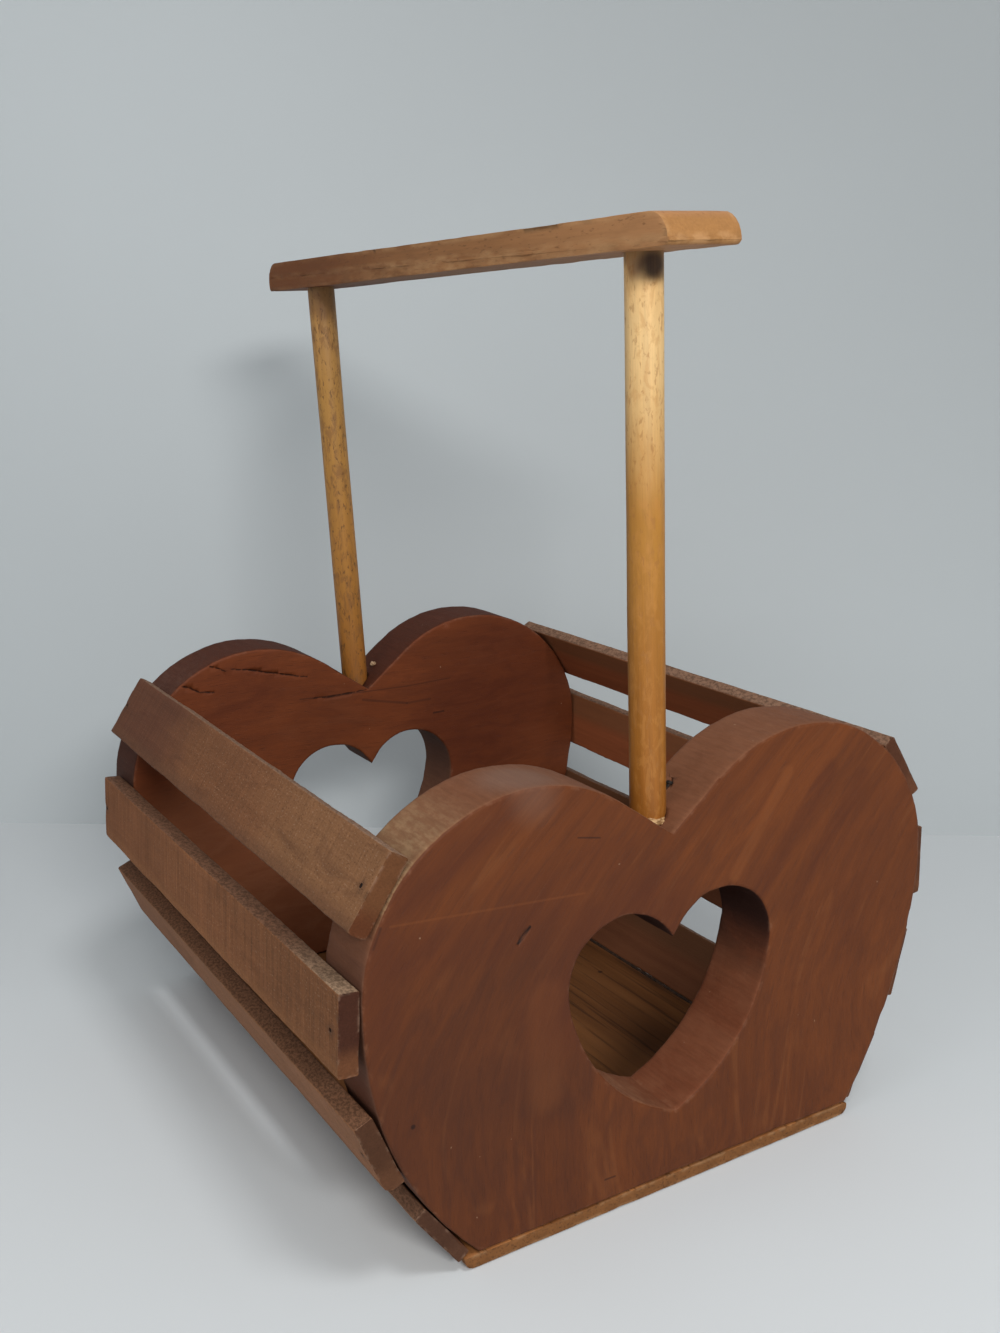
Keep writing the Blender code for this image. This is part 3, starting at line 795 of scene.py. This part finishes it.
def heart_board(name, node, material, grain_at, cracks, nails, seed):
    """A heart with eased rims, cut cracks, slightly uneven faces and rougher sawn edges."""
    bm = merged_copy(node)
    wear_from = edge_points(bm)
    rims = {True: [], False: []}
    cutout_middle = Vector(on_flat(0.0, CUTOUT_RISE))
    for edge in bm.edges:
        flats = [abs(face.normal.y) > 0.99 for face in edge.link_faces]
        if sum(flats) == 1:
            reach = (edge.verts[0].co + edge.verts[1].co) / 2 - cutout_middle
            reach.y = 0.0
            rims[reach.length < CUTOUT_REACH].append(edge)
    ease_edges(bm, rims[True], CUTOUT_EASE, CUTOUT_EASE_STEPS)
    ease_edges(bm, [edge for edge in rims[False] if edge.is_valid], RIM_EASE)
    bm = cut_cracks(bm, cracks)
    for direction in ((1, 0, 0), (0, 0, 1), (0, 1, 0)):
        cut_net(bm, direction, HEART_NET)
    for nail in nails:
        close_round_nail(bm, *nail_line(nail))
    bm.normal_update()
    store(bm, "grain", lambda vert: grain_at(vert.co), "vector")
    crack_points = [point for path, _ in cracks for point in path]
    store_distance(bm, "crack_distance", point_tree(crack_points))
    edge_layer = store_distance(bm, "edge_distance", wear_from)
    for vert in bm.verts:
        wall = 1.0 - abs(vert.normal.y)
        level = uneven(vert.co, HEART_FACE_WAVES, seed) + wall * uneven(vert.co, HEART_WALL_WAVES, seed)
        level -= worn_away(vert.co, vert[edge_layer], HEART_WEAR, seed)
        vert.co += vert.normal * level
    finished_piece(bm, name, material, [node])


def slat_axes(bm, node):
    """A slat's middle, and the directions along it, up across it and out through it."""
    through = max(bm.faces, key=lambda face: face.calc_area()).normal.copy()
    longest = max(bm.edges, key=lambda edge: edge.calc_length())
    along = (longest.verts[1].co - longest.verts[0].co).normalized()
    if along.y < 0:
        along.negate()
    low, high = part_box(node)
    middle = (low + high) / 2
    if through.x * (middle.x - MIDDLE) < 0:
        through.negate()
    across = through.cross(along).normalized()
    if across.z < 0:
        across.negate()
    return middle, along, across, through


def slat_board(name, node, material, nails, seed):
    """A slat with eased corners, furry edges, and its wood closed in round the nails."""
    bm = merged_copy(node)
    wear_from = edge_points(bm)
    middle, along, across, through = slat_axes(bm, node)
    ease_edges(bm, sharp_edges(bm, SLAT_TURN, EASED_LENGTH), SLAT_EASE)
    cut_net(bm, along, SLAT_NET_ALONG)
    cut_net(bm, across, SLAT_NET_ACROSS)
    cut_net(bm, through, SLAT_NET_ACROSS)
    heads = []
    for nail in nails:
        head, direction = nail_line(nail)
        heads.append(head)
        close_round_nail(bm, head, direction)
    bm.normal_update()

    def seen_from_slat(direction):
        return (direction.dot(along), direction.dot(across), direction.dot(through))

    def nail_gap(vert):
        gaps = [vert.co - head for head in heads]
        return min((gap - through * gap.dot(through)).length for gap in gaps)

    grain = store(bm, "grain", lambda vert: seen_from_slat(vert.co - middle), "vector")
    store(bm, "facet", lambda vert: seen_from_slat(vert.normal), "vector")
    store(bm, "nail_distance", nail_gap)
    edge_layer = store_distance(bm, "edge_distance", wear_from)
    for vert in bm.verts:
        spot = Vector(vert[grain])
        edgewise = min(1.0, abs(vert.normal.dot(across)))
        level = uneven(spot, SLAT_FACE_WAVES, seed) + edgewise * uneven(spot, SLAT_EDGE_WAVES, seed)
        level -= worn_away(spot, vert[edge_layer], SLAT_WEAR, seed)
        vert.co += vert.normal * level
    finished_piece(bm, name, material, [node])


def plain_board(name, node, material, ease, net, waves, seed):
    """The floor or the bar, whose grain runs along the basket."""
    bm = merged_copy(node)
    wear_from = edge_points(bm)
    ease_edges(bm, sharp_edges(bm, BOARD_TURN, EASED_LENGTH), ease)
    for direction in ((1, 0, 0), (0, 1, 0), (0, 0, 1)):
        cut_net(bm, direction, net)
    store(bm, "grain", lambda vert: (vert.co.y, vert.co.x, vert.co.z), "vector")
    edge_layer = store_distance(bm, "edge_distance", wear_from)
    for vert in bm.verts:
        level = uneven(vert.co, waves, seed) - worn_away(vert.co, vert[edge_layer], BOARD_WEAR, seed)
        vert.co += vert.normal * level
    finished_piece(bm, name, material, [node])


def rod(start, end, axis, radius, sides, net):
    """A round rod between two points, in short lengths."""
    bm = bmesh.new()
    bmesh.ops.create_cone(
        bm, cap_ends=True, segments=sides, radius1=radius, radius2=radius, depth=(end - start).length
    )
    turn = Vector((0, 0, 1)).rotation_difference(axis).to_matrix().to_4x4()
    bmesh.ops.transform(bm, matrix=Matrix.Translation((start + end) / 2) @ turn, verts=bm.verts[:])
    cut_net(bm, axis, net)
    return bm


def dowel(name, node, material, seed):
    """A turned rod in the place of a CAD post, very slightly uneven."""
    low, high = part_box(node)
    points = solid_points(node)
    start = middle_of([point for point in points if point.z < low.z + POST_END])
    end = middle_of([point for point in points if point.z > high.z - POST_END])
    axis = (end - start).normalized()
    start = start + axis * ((low.z - start.z) / axis.z) * POST_REACH
    end = end + axis * ((high.z - end.z) / axis.z) * POST_REACH

    def from_axis(point):
        return point - start - axis * (point - start).dot(axis)

    radius = max(from_axis(point).length for point in points)
    bm = rod(start, end, axis, radius, POST_SIDES, POST_NET)
    for vert in bm.verts:
        side = from_axis(vert.co)
        if side.length > radius * 0.5:
            vert.co += side.normalized() * (uneven(vert.co, POST_WAVES, seed) - POST_SHRINK)
    finished_piece(bm, name, material, [node], sharp=50.0)


def glue_bead(name, place, sizes, material, seed):
    """A small uneven lump of old glue, or a splinter where it is long and thin."""
    bm = bmesh.new()
    bmesh.ops.create_icosphere(bm, subdivisions=4, radius=1.0)
    for vert in bm.verts:
        vert.co *= 1.0 + uneven(vert.co, BEAD_WAVES, seed)
    bmesh.ops.scale(bm, vec=sizes, verts=bm.verts[:])
    bmesh.ops.translate(bm, vec=place, verts=bm.verts[:])
    finished_piece(bm, name, material, [], sharp=80.0)


def painted_shade_strip(name, start, end, radius, material, seed):
    """A dark strip of painted shade in the joint between two boards."""
    start, end = Vector(start), Vector(end)
    bm = rod(start, end, (end - start).normalized(), radius, SHADE_STRIP_SIDES, SHADE_STRIP_NET)
    for vert in bm.verts:
        vert.co += vert.normal * uneven(vert.co, SHADE_STRIP_WAVES, seed)
    finished_piece(bm, name, material, [], sharp=80.0)


def front_grain(point):
    """Figure that climbs the front heart and bends to the right as it rises."""
    rise = max(0.0, point.z - FOOT - 0.0203)
    across = point.x - MIDDLE - 7.5 * rise * rise
    return (point.z, across, point.y)


def rear_grain(point):
    """Figure that runs across the rear heart in slow waves."""
    wave = 0.0012 * math.sin(point.x * 62.0) + 0.05 * point.x
    return (point.x, point.z + wave, point.y)


# The two hearts
FRONT_DULL = (0.057, 0.019, 0.0096)
FRONT_ORANGE = (0.22, 0.07, 0.02)
FRONT_DEEP = (0.072, 0.02, 0.0088)
MAUVE_DUST = (0.18, 0.115, 0.088)

front_tones = {
    "light": (0.149, 0.0418, 0.0112),
    "dark": (0.089, 0.0255, 0.0088),
    "smoke": (0.062, 0.0197, 0.01),
    "ring": (0.19, 0.065, 0.021),
    "worn": (0.24, 0.115, 0.065),
    "wall_dark": (0.126, 0.045, 0.0195),
    "wall_dust_and_top_light": (0.172, 0.07, 0.0355),
    "wall_grey": (0.29, 0.185, 0.098),
    "wall_steep_shade": (0.088, 0.038, 0.0235),
    "hole_red": (0.135, 0.04, 0.017),
    "hole_light": (0.185, 0.067, 0.032),
    "hole_tan": (0.245, 0.113, 0.058),
    "hole_high_shade": (0.026, 0.0095, 0.0065),
}
front_zones = [
    ((-0.06, 0.034), (-0.042, 0.056), 0.068, FRONT_DULL, 0.52),
    ((-0.07, 0.076), (-0.026, 0.0715), 0.016, FRONT_DEEP, 0.45),
    ((-0.035, 0.056), (-0.0361, 0.033), 0.013, FRONT_ORANGE, 0.3),
    ((-0.068, 0.088), (-0.045, 0.101), 0.015, FRONT_DEEP, 0.55),
    ((-0.04, 0.08), (-0.015, 0.086), 0.015, FRONT_DEEP, 0.32),
    ((-0.074, 0.06), (-0.074, 0.082), 0.012, FRONT_DEEP, 0.45),
    ((-0.057, 0.04), (-0.03, 0.033), 0.024, FRONT_DULL, 0.4),
    ((-0.03, 0.052), (-0.006, 0.068), 0.036, FRONT_DEEP, 0.6),
    ((0.052, 0.05), (0.06, 0.078), 0.03, FRONT_DEEP, 0.25),
    ((0.022, 0.062), (0.047, 0.092), 0.008, FRONT_DEEP, 0.45),
    ((0.035, 0.06), (0.058, 0.088), 0.007, FRONT_DEEP, 0.4),
    ((0.018, 0.072), (0.034, 0.094), 0.005, FRONT_ORANGE, 0.3),
]
front_marks = [
    ((-0.036, 0.103, 0.008), None, 0.012, MAUVE_DUST, 0.45),
    ((-0.076, 0.0465, 0.008), None, 0.009, FRONT_DEEP, 0.65),
    ((-0.0753, 0.0788, 0.0004), (-0.0734, 0.0828, 0.0004), 0.0012, DARK_MARK, 0.85),
    ((0.0214, 0.0425, 0.007), (0.0226, 0.048, 0.01), 0.0006, PALE_MARK, 0.35),
    ((0.0205, 0.04, 0.009), (0.0218, 0.044, 0.012), 0.0005, PALE_MARK, 0.3),
    ((-0.0416, 0.071), (-0.0385, 0.0739), 0.0011, DARK_MARK, 0.8),
    ((-0.0713, 0.0827), (-0.0242, 0.0781), 0.0008, FRONT_ORANGE, 0.16),
    ((-0.069, 0.0364), None, 0.0008, DARK_MARK, 0.9),
    ((-0.0255, 0.0913), (-0.0198, 0.09), 0.0006, DARK_MARK, 0.6),
    ((-0.0208, 0.0055), (-0.018, 0.0054), 0.0007, DARK_MARK, 0.6),
    ((-0.0579, 0.103, 0.009), None, 0.0008, PALE_MARK, 0.8),
    ((-0.0464, 0.0994, 0.009), None, 0.0007, PALE_MARK, 0.8),
    ((-0.0228, 0.0991, 0.009), None, 0.0009, PALE_MARK, 0.8),
]
front_heart_wood = heart_finish(
    "front_heart_wood", front_tones, on_front, 0.31, (0.62, 0.64), front_zones, front_marks
)
rear_tones = {
    "light": (0.168, 0.0435, 0.0137),
    "dark": (0.1, 0.024, 0.0082),
    "smoke": (0.076, 0.0215, 0.0095),
    "ring": (0.16, 0.048, 0.019),
    "worn": (0.2, 0.1, 0.06),
    "wall_dark": (0.048, 0.014, 0.0065),
    "wall_dust_and_top_light": (0.069, 0.019, 0.009),
    "wall_grey": (0.09, 0.04, 0.027),
    "wall_steep_shade": (0.05, 0.02, 0.013),
    "hole_red": (0.13, 0.052, 0.028),
    "hole_light": (0.19, 0.085, 0.048),
    "hole_tan": (0.21, 0.105, 0.062),
    "hole_high_shade": (0.09, 0.038, 0.022),
}
REAR_DARK = (0.045, 0.015, 0.008)
REAR_PAINTED_SHADE = (0.07, 0.0155, 0.0065)
REAR_PALE = (0.23, 0.085, 0.04)
# The first two rear zones are painted shade: the right of the inner face, and the part behind the top left
# slats.
rear_zones = [
    ((0.03, 0.06), (0.052, 0.082), 0.06, REAR_PAINTED_SHADE, 0.55),
    ((-0.066, 0.076), (-0.04, 0.094), 0.032, REAR_PAINTED_SHADE, 0.4),
    ((-0.062, 0.05), (-0.012, 0.01), 0.044, REAR_PALE, 0.6),
]
rear_marks = [
    ((-0.0019, 0.083), (0.0137, 0.0792), 0.0012, REAR_DARK, 0.55),
    ((0.0137, 0.0792), (0.0223, 0.0791), 0.0011, REAR_DARK, 0.5),
    ((0.0234, 0.0741), (0.0271, 0.0741), 0.001, DARK_MARK, 0.65),
    ((-0.0234, 0.0869), (-0.0017, 0.0856), 0.0006, REAR_DARK, 0.6),
    ((-0.0017, 0.0856), (0.0141, 0.0849), 0.0006, REAR_DARK, 0.6),
    ((0.0141, 0.0849), (0.0301, 0.085), 0.0006, REAR_DARK, 0.6),
]
rear_heart_wood = heart_finish(
    "rear_heart_wood", rear_tones, on_rear, 1.73, (-0.3, 0.6), rear_zones, rear_marks
)

# The cracks of the rear heart, each with its width, and a small split in the front one
rear_splits = [
    (0.00042, [(-0.0541, 0.1033), (-0.0505, 0.1017), (-0.0468, 0.0998)]),
    (0.00036, [(-0.0452, 0.1004), (-0.0351, 0.0979), (-0.0235, 0.0945), (-0.0195, 0.0936)]),
    (0.00042, [(-0.0621, 0.0979), (-0.0582, 0.0966), (-0.055, 0.0945)]),
    (0.0003, [(-0.0543, 0.095), (-0.0504, 0.0938)]),
    (0.00026, [(-0.0208, 0.0865), (-0.0098, 0.086), (0.0003, 0.0864)]),
]
CRACK_LIFT = -0.00005
rear_cracks = [
    (crack_path([on_rear(x, z, CRACK_LIFT) for x, z in corners], 0.00035, index * 3.1), width)
    for index, (width, corners) in enumerate(rear_splits)
]
knot_corners = [on_front(-0.0416, 0.071), on_front(-0.04, 0.0725), on_front(-0.0385, 0.0739)]
front_crack = (crack_path(knot_corners, 0.0002, 8.0, 0.0006), 0.0008)
pin = ["front_post_pin"]
heart_board("front_heart_board", "front_heart", front_heart_wood, front_grain, [front_crack], pin, 3.0)
heart_board("rear_heart_board", "rear_heart", rear_heart_wood, rear_grain, rear_cracks, [], 11.0)

# The slats, counted from the shoulder of the heart down
LEFT_INSIDE = {"inner": (0.13, 0.043, 0.019), "inner_upper": (0.085, 0.046, 0.022)}
# The insides of the two upper right slats are lighter than those of the two lower ones: partly their own
# tone, partly painted light and shade.
RIGHT_INSIDE_PAINTED_LIGHT = {"inner": (0.274, 0.081, 0.032), "inner_upper": (0.17, 0.082, 0.038)}
RIGHT_LOW_INSIDE_PAINTED_SHADE = {"inner": (0.15, 0.056, 0.026), "inner_upper": (0.11, 0.054, 0.026)}
RIGHT_OUTER = (0.19, 0.092, 0.045)

SLAT_PLACES = ("front", "middle", "rear", "upper", "upper_front", "lower", "end_low", "end_top")
left_rows = {
    "left_slat_1": [
        (0.202, 0.0945, 0.043), (0.166, 0.0685, 0.0305), (0.109, 0.0425, 0.023), (0.2, 0.115, 0.072),
        (0.24, 0.145, 0.095), (0.11, 0.05, 0.027), (0.084, 0.0265, 0.0098), (0.104, 0.0405, 0.0158),
    ],
    "left_slat_2": [
        (0.174, 0.0705, 0.0285), (0.206, 0.081, 0.0325), (0.189, 0.073, 0.0295), (0.13, 0.063, 0.036),
        (0.245, 0.162, 0.103), (0.22, 0.094, 0.038), (0.105, 0.04, 0.017), (0.045, 0.015, 0.008),
    ],
    "left_slat_3": [
        (0.24, 0.106, 0.05), (0.235, 0.104, 0.049), (0.215, 0.094, 0.045), (0.125, 0.058, 0.031),
        (0.125, 0.06, 0.033), (0.14, 0.064, 0.033), (0.084, 0.035, 0.017), (0.06, 0.025, 0.0125),
    ],
    "left_slat_4": [
        (0.225, 0.115, 0.06), (0.195, 0.093, 0.048), (0.15, 0.066, 0.037), (0.1, 0.05, 0.03),
        (0.1, 0.05, 0.03), (0.11, 0.048, 0.026), (0.072, 0.032, 0.018), (0.058, 0.025, 0.014),
    ],
}
right_row = [
    RIGHT_OUTER, shaded(RIGHT_OUTER, 0.92), shaded(RIGHT_OUTER, 0.8),
    (0.18, 0.1, 0.064), (0.18, 0.1, 0.064), (0.12, 0.052, 0.028),
    (0.105, 0.04, 0.019), (0.075, 0.028, 0.014),
]
slat_tones = {}
for node, row in left_rows.items():
    slat_tones[node] = {**dict(zip(SLAT_PLACES, row)), **LEFT_INSIDE}
for index in range(1, 5):
    inside = RIGHT_INSIDE_PAINTED_LIGHT if index < 3 else RIGHT_LOW_INSIDE_PAINTED_SHADE
    slat_tones[f"right_slat_{index}"] = {**dict(zip(SLAT_PLACES, right_row)), **inside}
# How strongly saw lines cross a slat, and how rough it looks, where it isn't like the others
cross_lines = {"left_slat_1": 0.6, "left_slat_2": 1.2, "left_slat_3": 0.7}
rough_looks = {"left_slat_1": 0.0}
for index, (node, tones) in enumerate(slat_tones.items()):
    look = (cross_lines.get(node, 0.3), rough_looks.get(node, 0.6))
    wood = slat_finish(node + "_wood", tones, 0.6 + 0.83 * index, *look)
    brads = [node + "_front_brad", node + "_rear_brad"]
    slat_board(node + "_board", node, wood, brads, seed=17.0 + 5.0 * index)

# The floor, the bar and the posts
plain_board(
    "floor_plank", "floor_board", floor_finish("floor_wood"),
    FLOOR_EASE, FLOOR_NET, FLOOR_WAVES, seed=61.0,
)
plain_board(
    "grip_bar", "handle_bar", bar_finish("bar_wood"),
    BAR_EASE, BAR_NET, BAR_WAVES, seed=71.0,
)

# The posts' colours by height above the table: lighter upwards, partly their own tone and partly painted
# light
front_post_stops = [
    (0.08, (0.235, 0.08, 0.011)),
    (0.115, (0.26, 0.096, 0.0112)),
    (0.16, (0.335, 0.148, 0.022)),
    (0.198, (0.67, 0.44, 0.195)),
    (0.21, (0.66, 0.42, 0.18)),
    (0.2145, (0.33, 0.18, 0.07)),
]
rear_post_stops = [
    (0.08, (0.252, 0.089, 0.015)),
    (0.13, (0.35, 0.153, 0.0275)),
    (0.18, (0.372, 0.186, 0.0415)),
    (0.208, (0.365, 0.188, 0.054)),
    (0.2135, (0.23, 0.112, 0.035)),
]
# A dark spot on the front post, just under the bar.
POST_DARK_SPOT = (0.0021, -0.0854, 0.2138)
front_post_wood = post_finish(
    "front_post_wood", front_post_stops, 0.4, 0.32,
    (0.41, 0.18, 0.042), (0.27, 0.112, 0.027), [(POST_DARK_SPOT, 0.0046, 0.9)],
)
rear_post_wood = post_finish(
    "rear_post_wood", rear_post_stops, 2.2, 0.6,
    (0.185, 0.08, 0.0245), (0.085, 0.036, 0.012), [],
)
dowel("front_dowel", "front_post", front_post_wood, 81.0)
dowel("rear_dowel", "rear_post", rear_post_wood, 87.0)

# Old glue and a splinter at the feet of the posts, a dark strip of painted shade beside the floor, and the
# iron of the nails
old_glue = glue_finish("old_glue", (0.23, 0.12, 0.048), (0.56, 0.36, 0.18))
glue_bead(
    "front_glue", on_front(-0.0012, 0.0874, 0.0062), (0.0034, 0.0014, 0.0011),
    old_glue, seed=4.0,
)
# A dark strip of painted shade in the gap between the floor and the lowest right slat.
joint_x = (floor_high.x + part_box("right_slat_4")[0].x) / 2
joint_z = floor_high.z - JOINT_GAP
shade_strip_start = (joint_x, front_high.y - JOINT_GAP, joint_z)
shade_strip_end = (joint_x, rear_low.y + JOINT_GAP, joint_z)
shade_strip_paint = glue_finish("joint_shade_paint", (0.016, 0.009, 0.006), (0.05, 0.026, 0.014))
painted_shade_strip("joint_shade_strip", shade_strip_start, shade_strip_end, SHADE_STRIP_RADIUS, shade_strip_paint, seed=5.0)
splinter = glue_finish("pale_splinter", (0.26, 0.15, 0.08), (0.48, 0.33, 0.2))
glue_bead(
    "rear_glue", on_rear(0.0066, 0.092, 0.009), (0.001, 0.0007, 0.0007),
    splinter, seed=9.0,
)

iron = iron_finish("dark_iron")
for name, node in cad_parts.items():
    if name.endswith("_brad") or name == "front_post_pin":
        node.data.materials.clear()
        node.data.materials.append(iron)

# The table and the wall
TABLE_TOP = -0.0003
WALL_DIRECTION = Vector((0.625, 0.78, 0.0)).normalized()
WALL_DISTANCE = 0.1659
SHEET_SIZE = 2.0


def stage_sheet(name, matrix, material):
    """A table or a wall, with its place in its mesh."""
    bm = bmesh.new()
    bmesh.ops.create_grid(bm, x_segments=8, y_segments=8, size=SHEET_SIZE, matrix=matrix)
    mesh = bpy.data.meshes.new(name)
    bm.to_mesh(mesh)
    bm.free()
    mesh.materials.append(material)
    new_object(name, mesh)


# Painted shade: the table darkens towards the wall.
table_painted_shade = (tuple(WALL_DIRECTION), -0.12, WALL_DISTANCE, 0.16)
stage_sheet(
    "table_top",
    Matrix.Translation((0.0, 0.0, TABLE_TOP)),
    plain_finish("table_paint", (0.6, 0.627, 0.642), 0.6, False, table_painted_shade),
)
wall_side = WALL_DIRECTION.cross(Vector((0.0, 0.0, 1.0)))
wall_turn = (-WALL_DIRECTION).to_track_quat("Z", "Y").to_matrix().to_4x4()
wall_middle = WALL_DIRECTION * WALL_DISTANCE + Vector((0.0, 0.0, TABLE_TOP + SHEET_SIZE))
# Painted shade: the wall darkens to the right and upwards.
wall_painted_shade = (tuple(wall_side * 0.9 + Vector((0.0, 0.0, 1.1))), 0.1, 0.55, 0.36)
stage_sheet(
    "back_wall",
    Matrix.Translation(wall_middle) @ wall_turn,
    plain_finish("wall_paint", (0.442, 0.473, 0.486), 0.8, True, wall_painted_shade),
)

# The light of the room, and three soft lamps that the camera doesn't see: name, place, the height that
# it aims at, width, depth, watts and colour
ROOM_COLOUR = (0.97, 0.985, 1.0, 1.0)
ROOM_STRENGTH = 0.5
LAMPS = [
    ("key_lamp", (-0.21, -0.85, 0.5), 0.08, 0.34, 0.12, 5.6, (1.0, 0.99, 0.97)),
    ("side_lamp", (-0.8, -0.2, 0.4), 0.06, 0.5, 0.5, 0.8, (1.0, 1.0, 1.0)),
    ("main_lamp", (0.07, -0.62, 1.3), 0.08, 0.34, 0.34, 5.4, (1.0, 1.0, 1.0)),
]
world = bpy.data.worlds.new("room_light")
world.use_nodes = True
background = world.node_tree.nodes["Background"]
background.inputs["Color"].default_value = ROOM_COLOUR
background.inputs["Strength"].default_value = ROOM_STRENGTH
bpy.context.scene.world = world
for name, place, aim_height, width, depth, power, colour in LAMPS:
    lamp = bpy.data.lights.new(name, "AREA")
    lamp.shape = "ELLIPSE"
    lamp.size = width
    lamp.size_y = depth
    lamp.energy = power
    lamp.color = colour
    holder = new_object(name, lamp)
    holder.location = place
    aim = Vector((0.0, 0.0, aim_height)) - Vector(place)
    holder.rotation_euler = aim.to_track_quat("-Z", "Y").to_euler()
    holder.visible_camera = False

# The camera, placed from the front heart and turned in degrees
CAMERA_LENS = 50.576
CAMERA_TURN = (75.9154, 2.3353, -30.4595)
camera_data = bpy.data.cameras.new("photo_camera")
camera_data.sensor_fit = "HORIZONTAL"
camera_data.sensor_width = 36.0
camera_data.lens = CAMERA_LENS
camera_data.clip_start = 0.01
camera_data.clip_end = 20.0
camera = new_object("photo_camera", camera_data)
camera.location = (MIDDLE - 0.18103, FRONT_FACE - 0.23995, FOOT + 0.20177)
camera.rotation_euler = Euler([math.radians(part) for part in CAMERA_TURN], "XYZ")
bpy.context.scene.camera = camera
bpy.context.scene.view_settings.view_transform = "Standard"

bpy.context.view_layer.update()
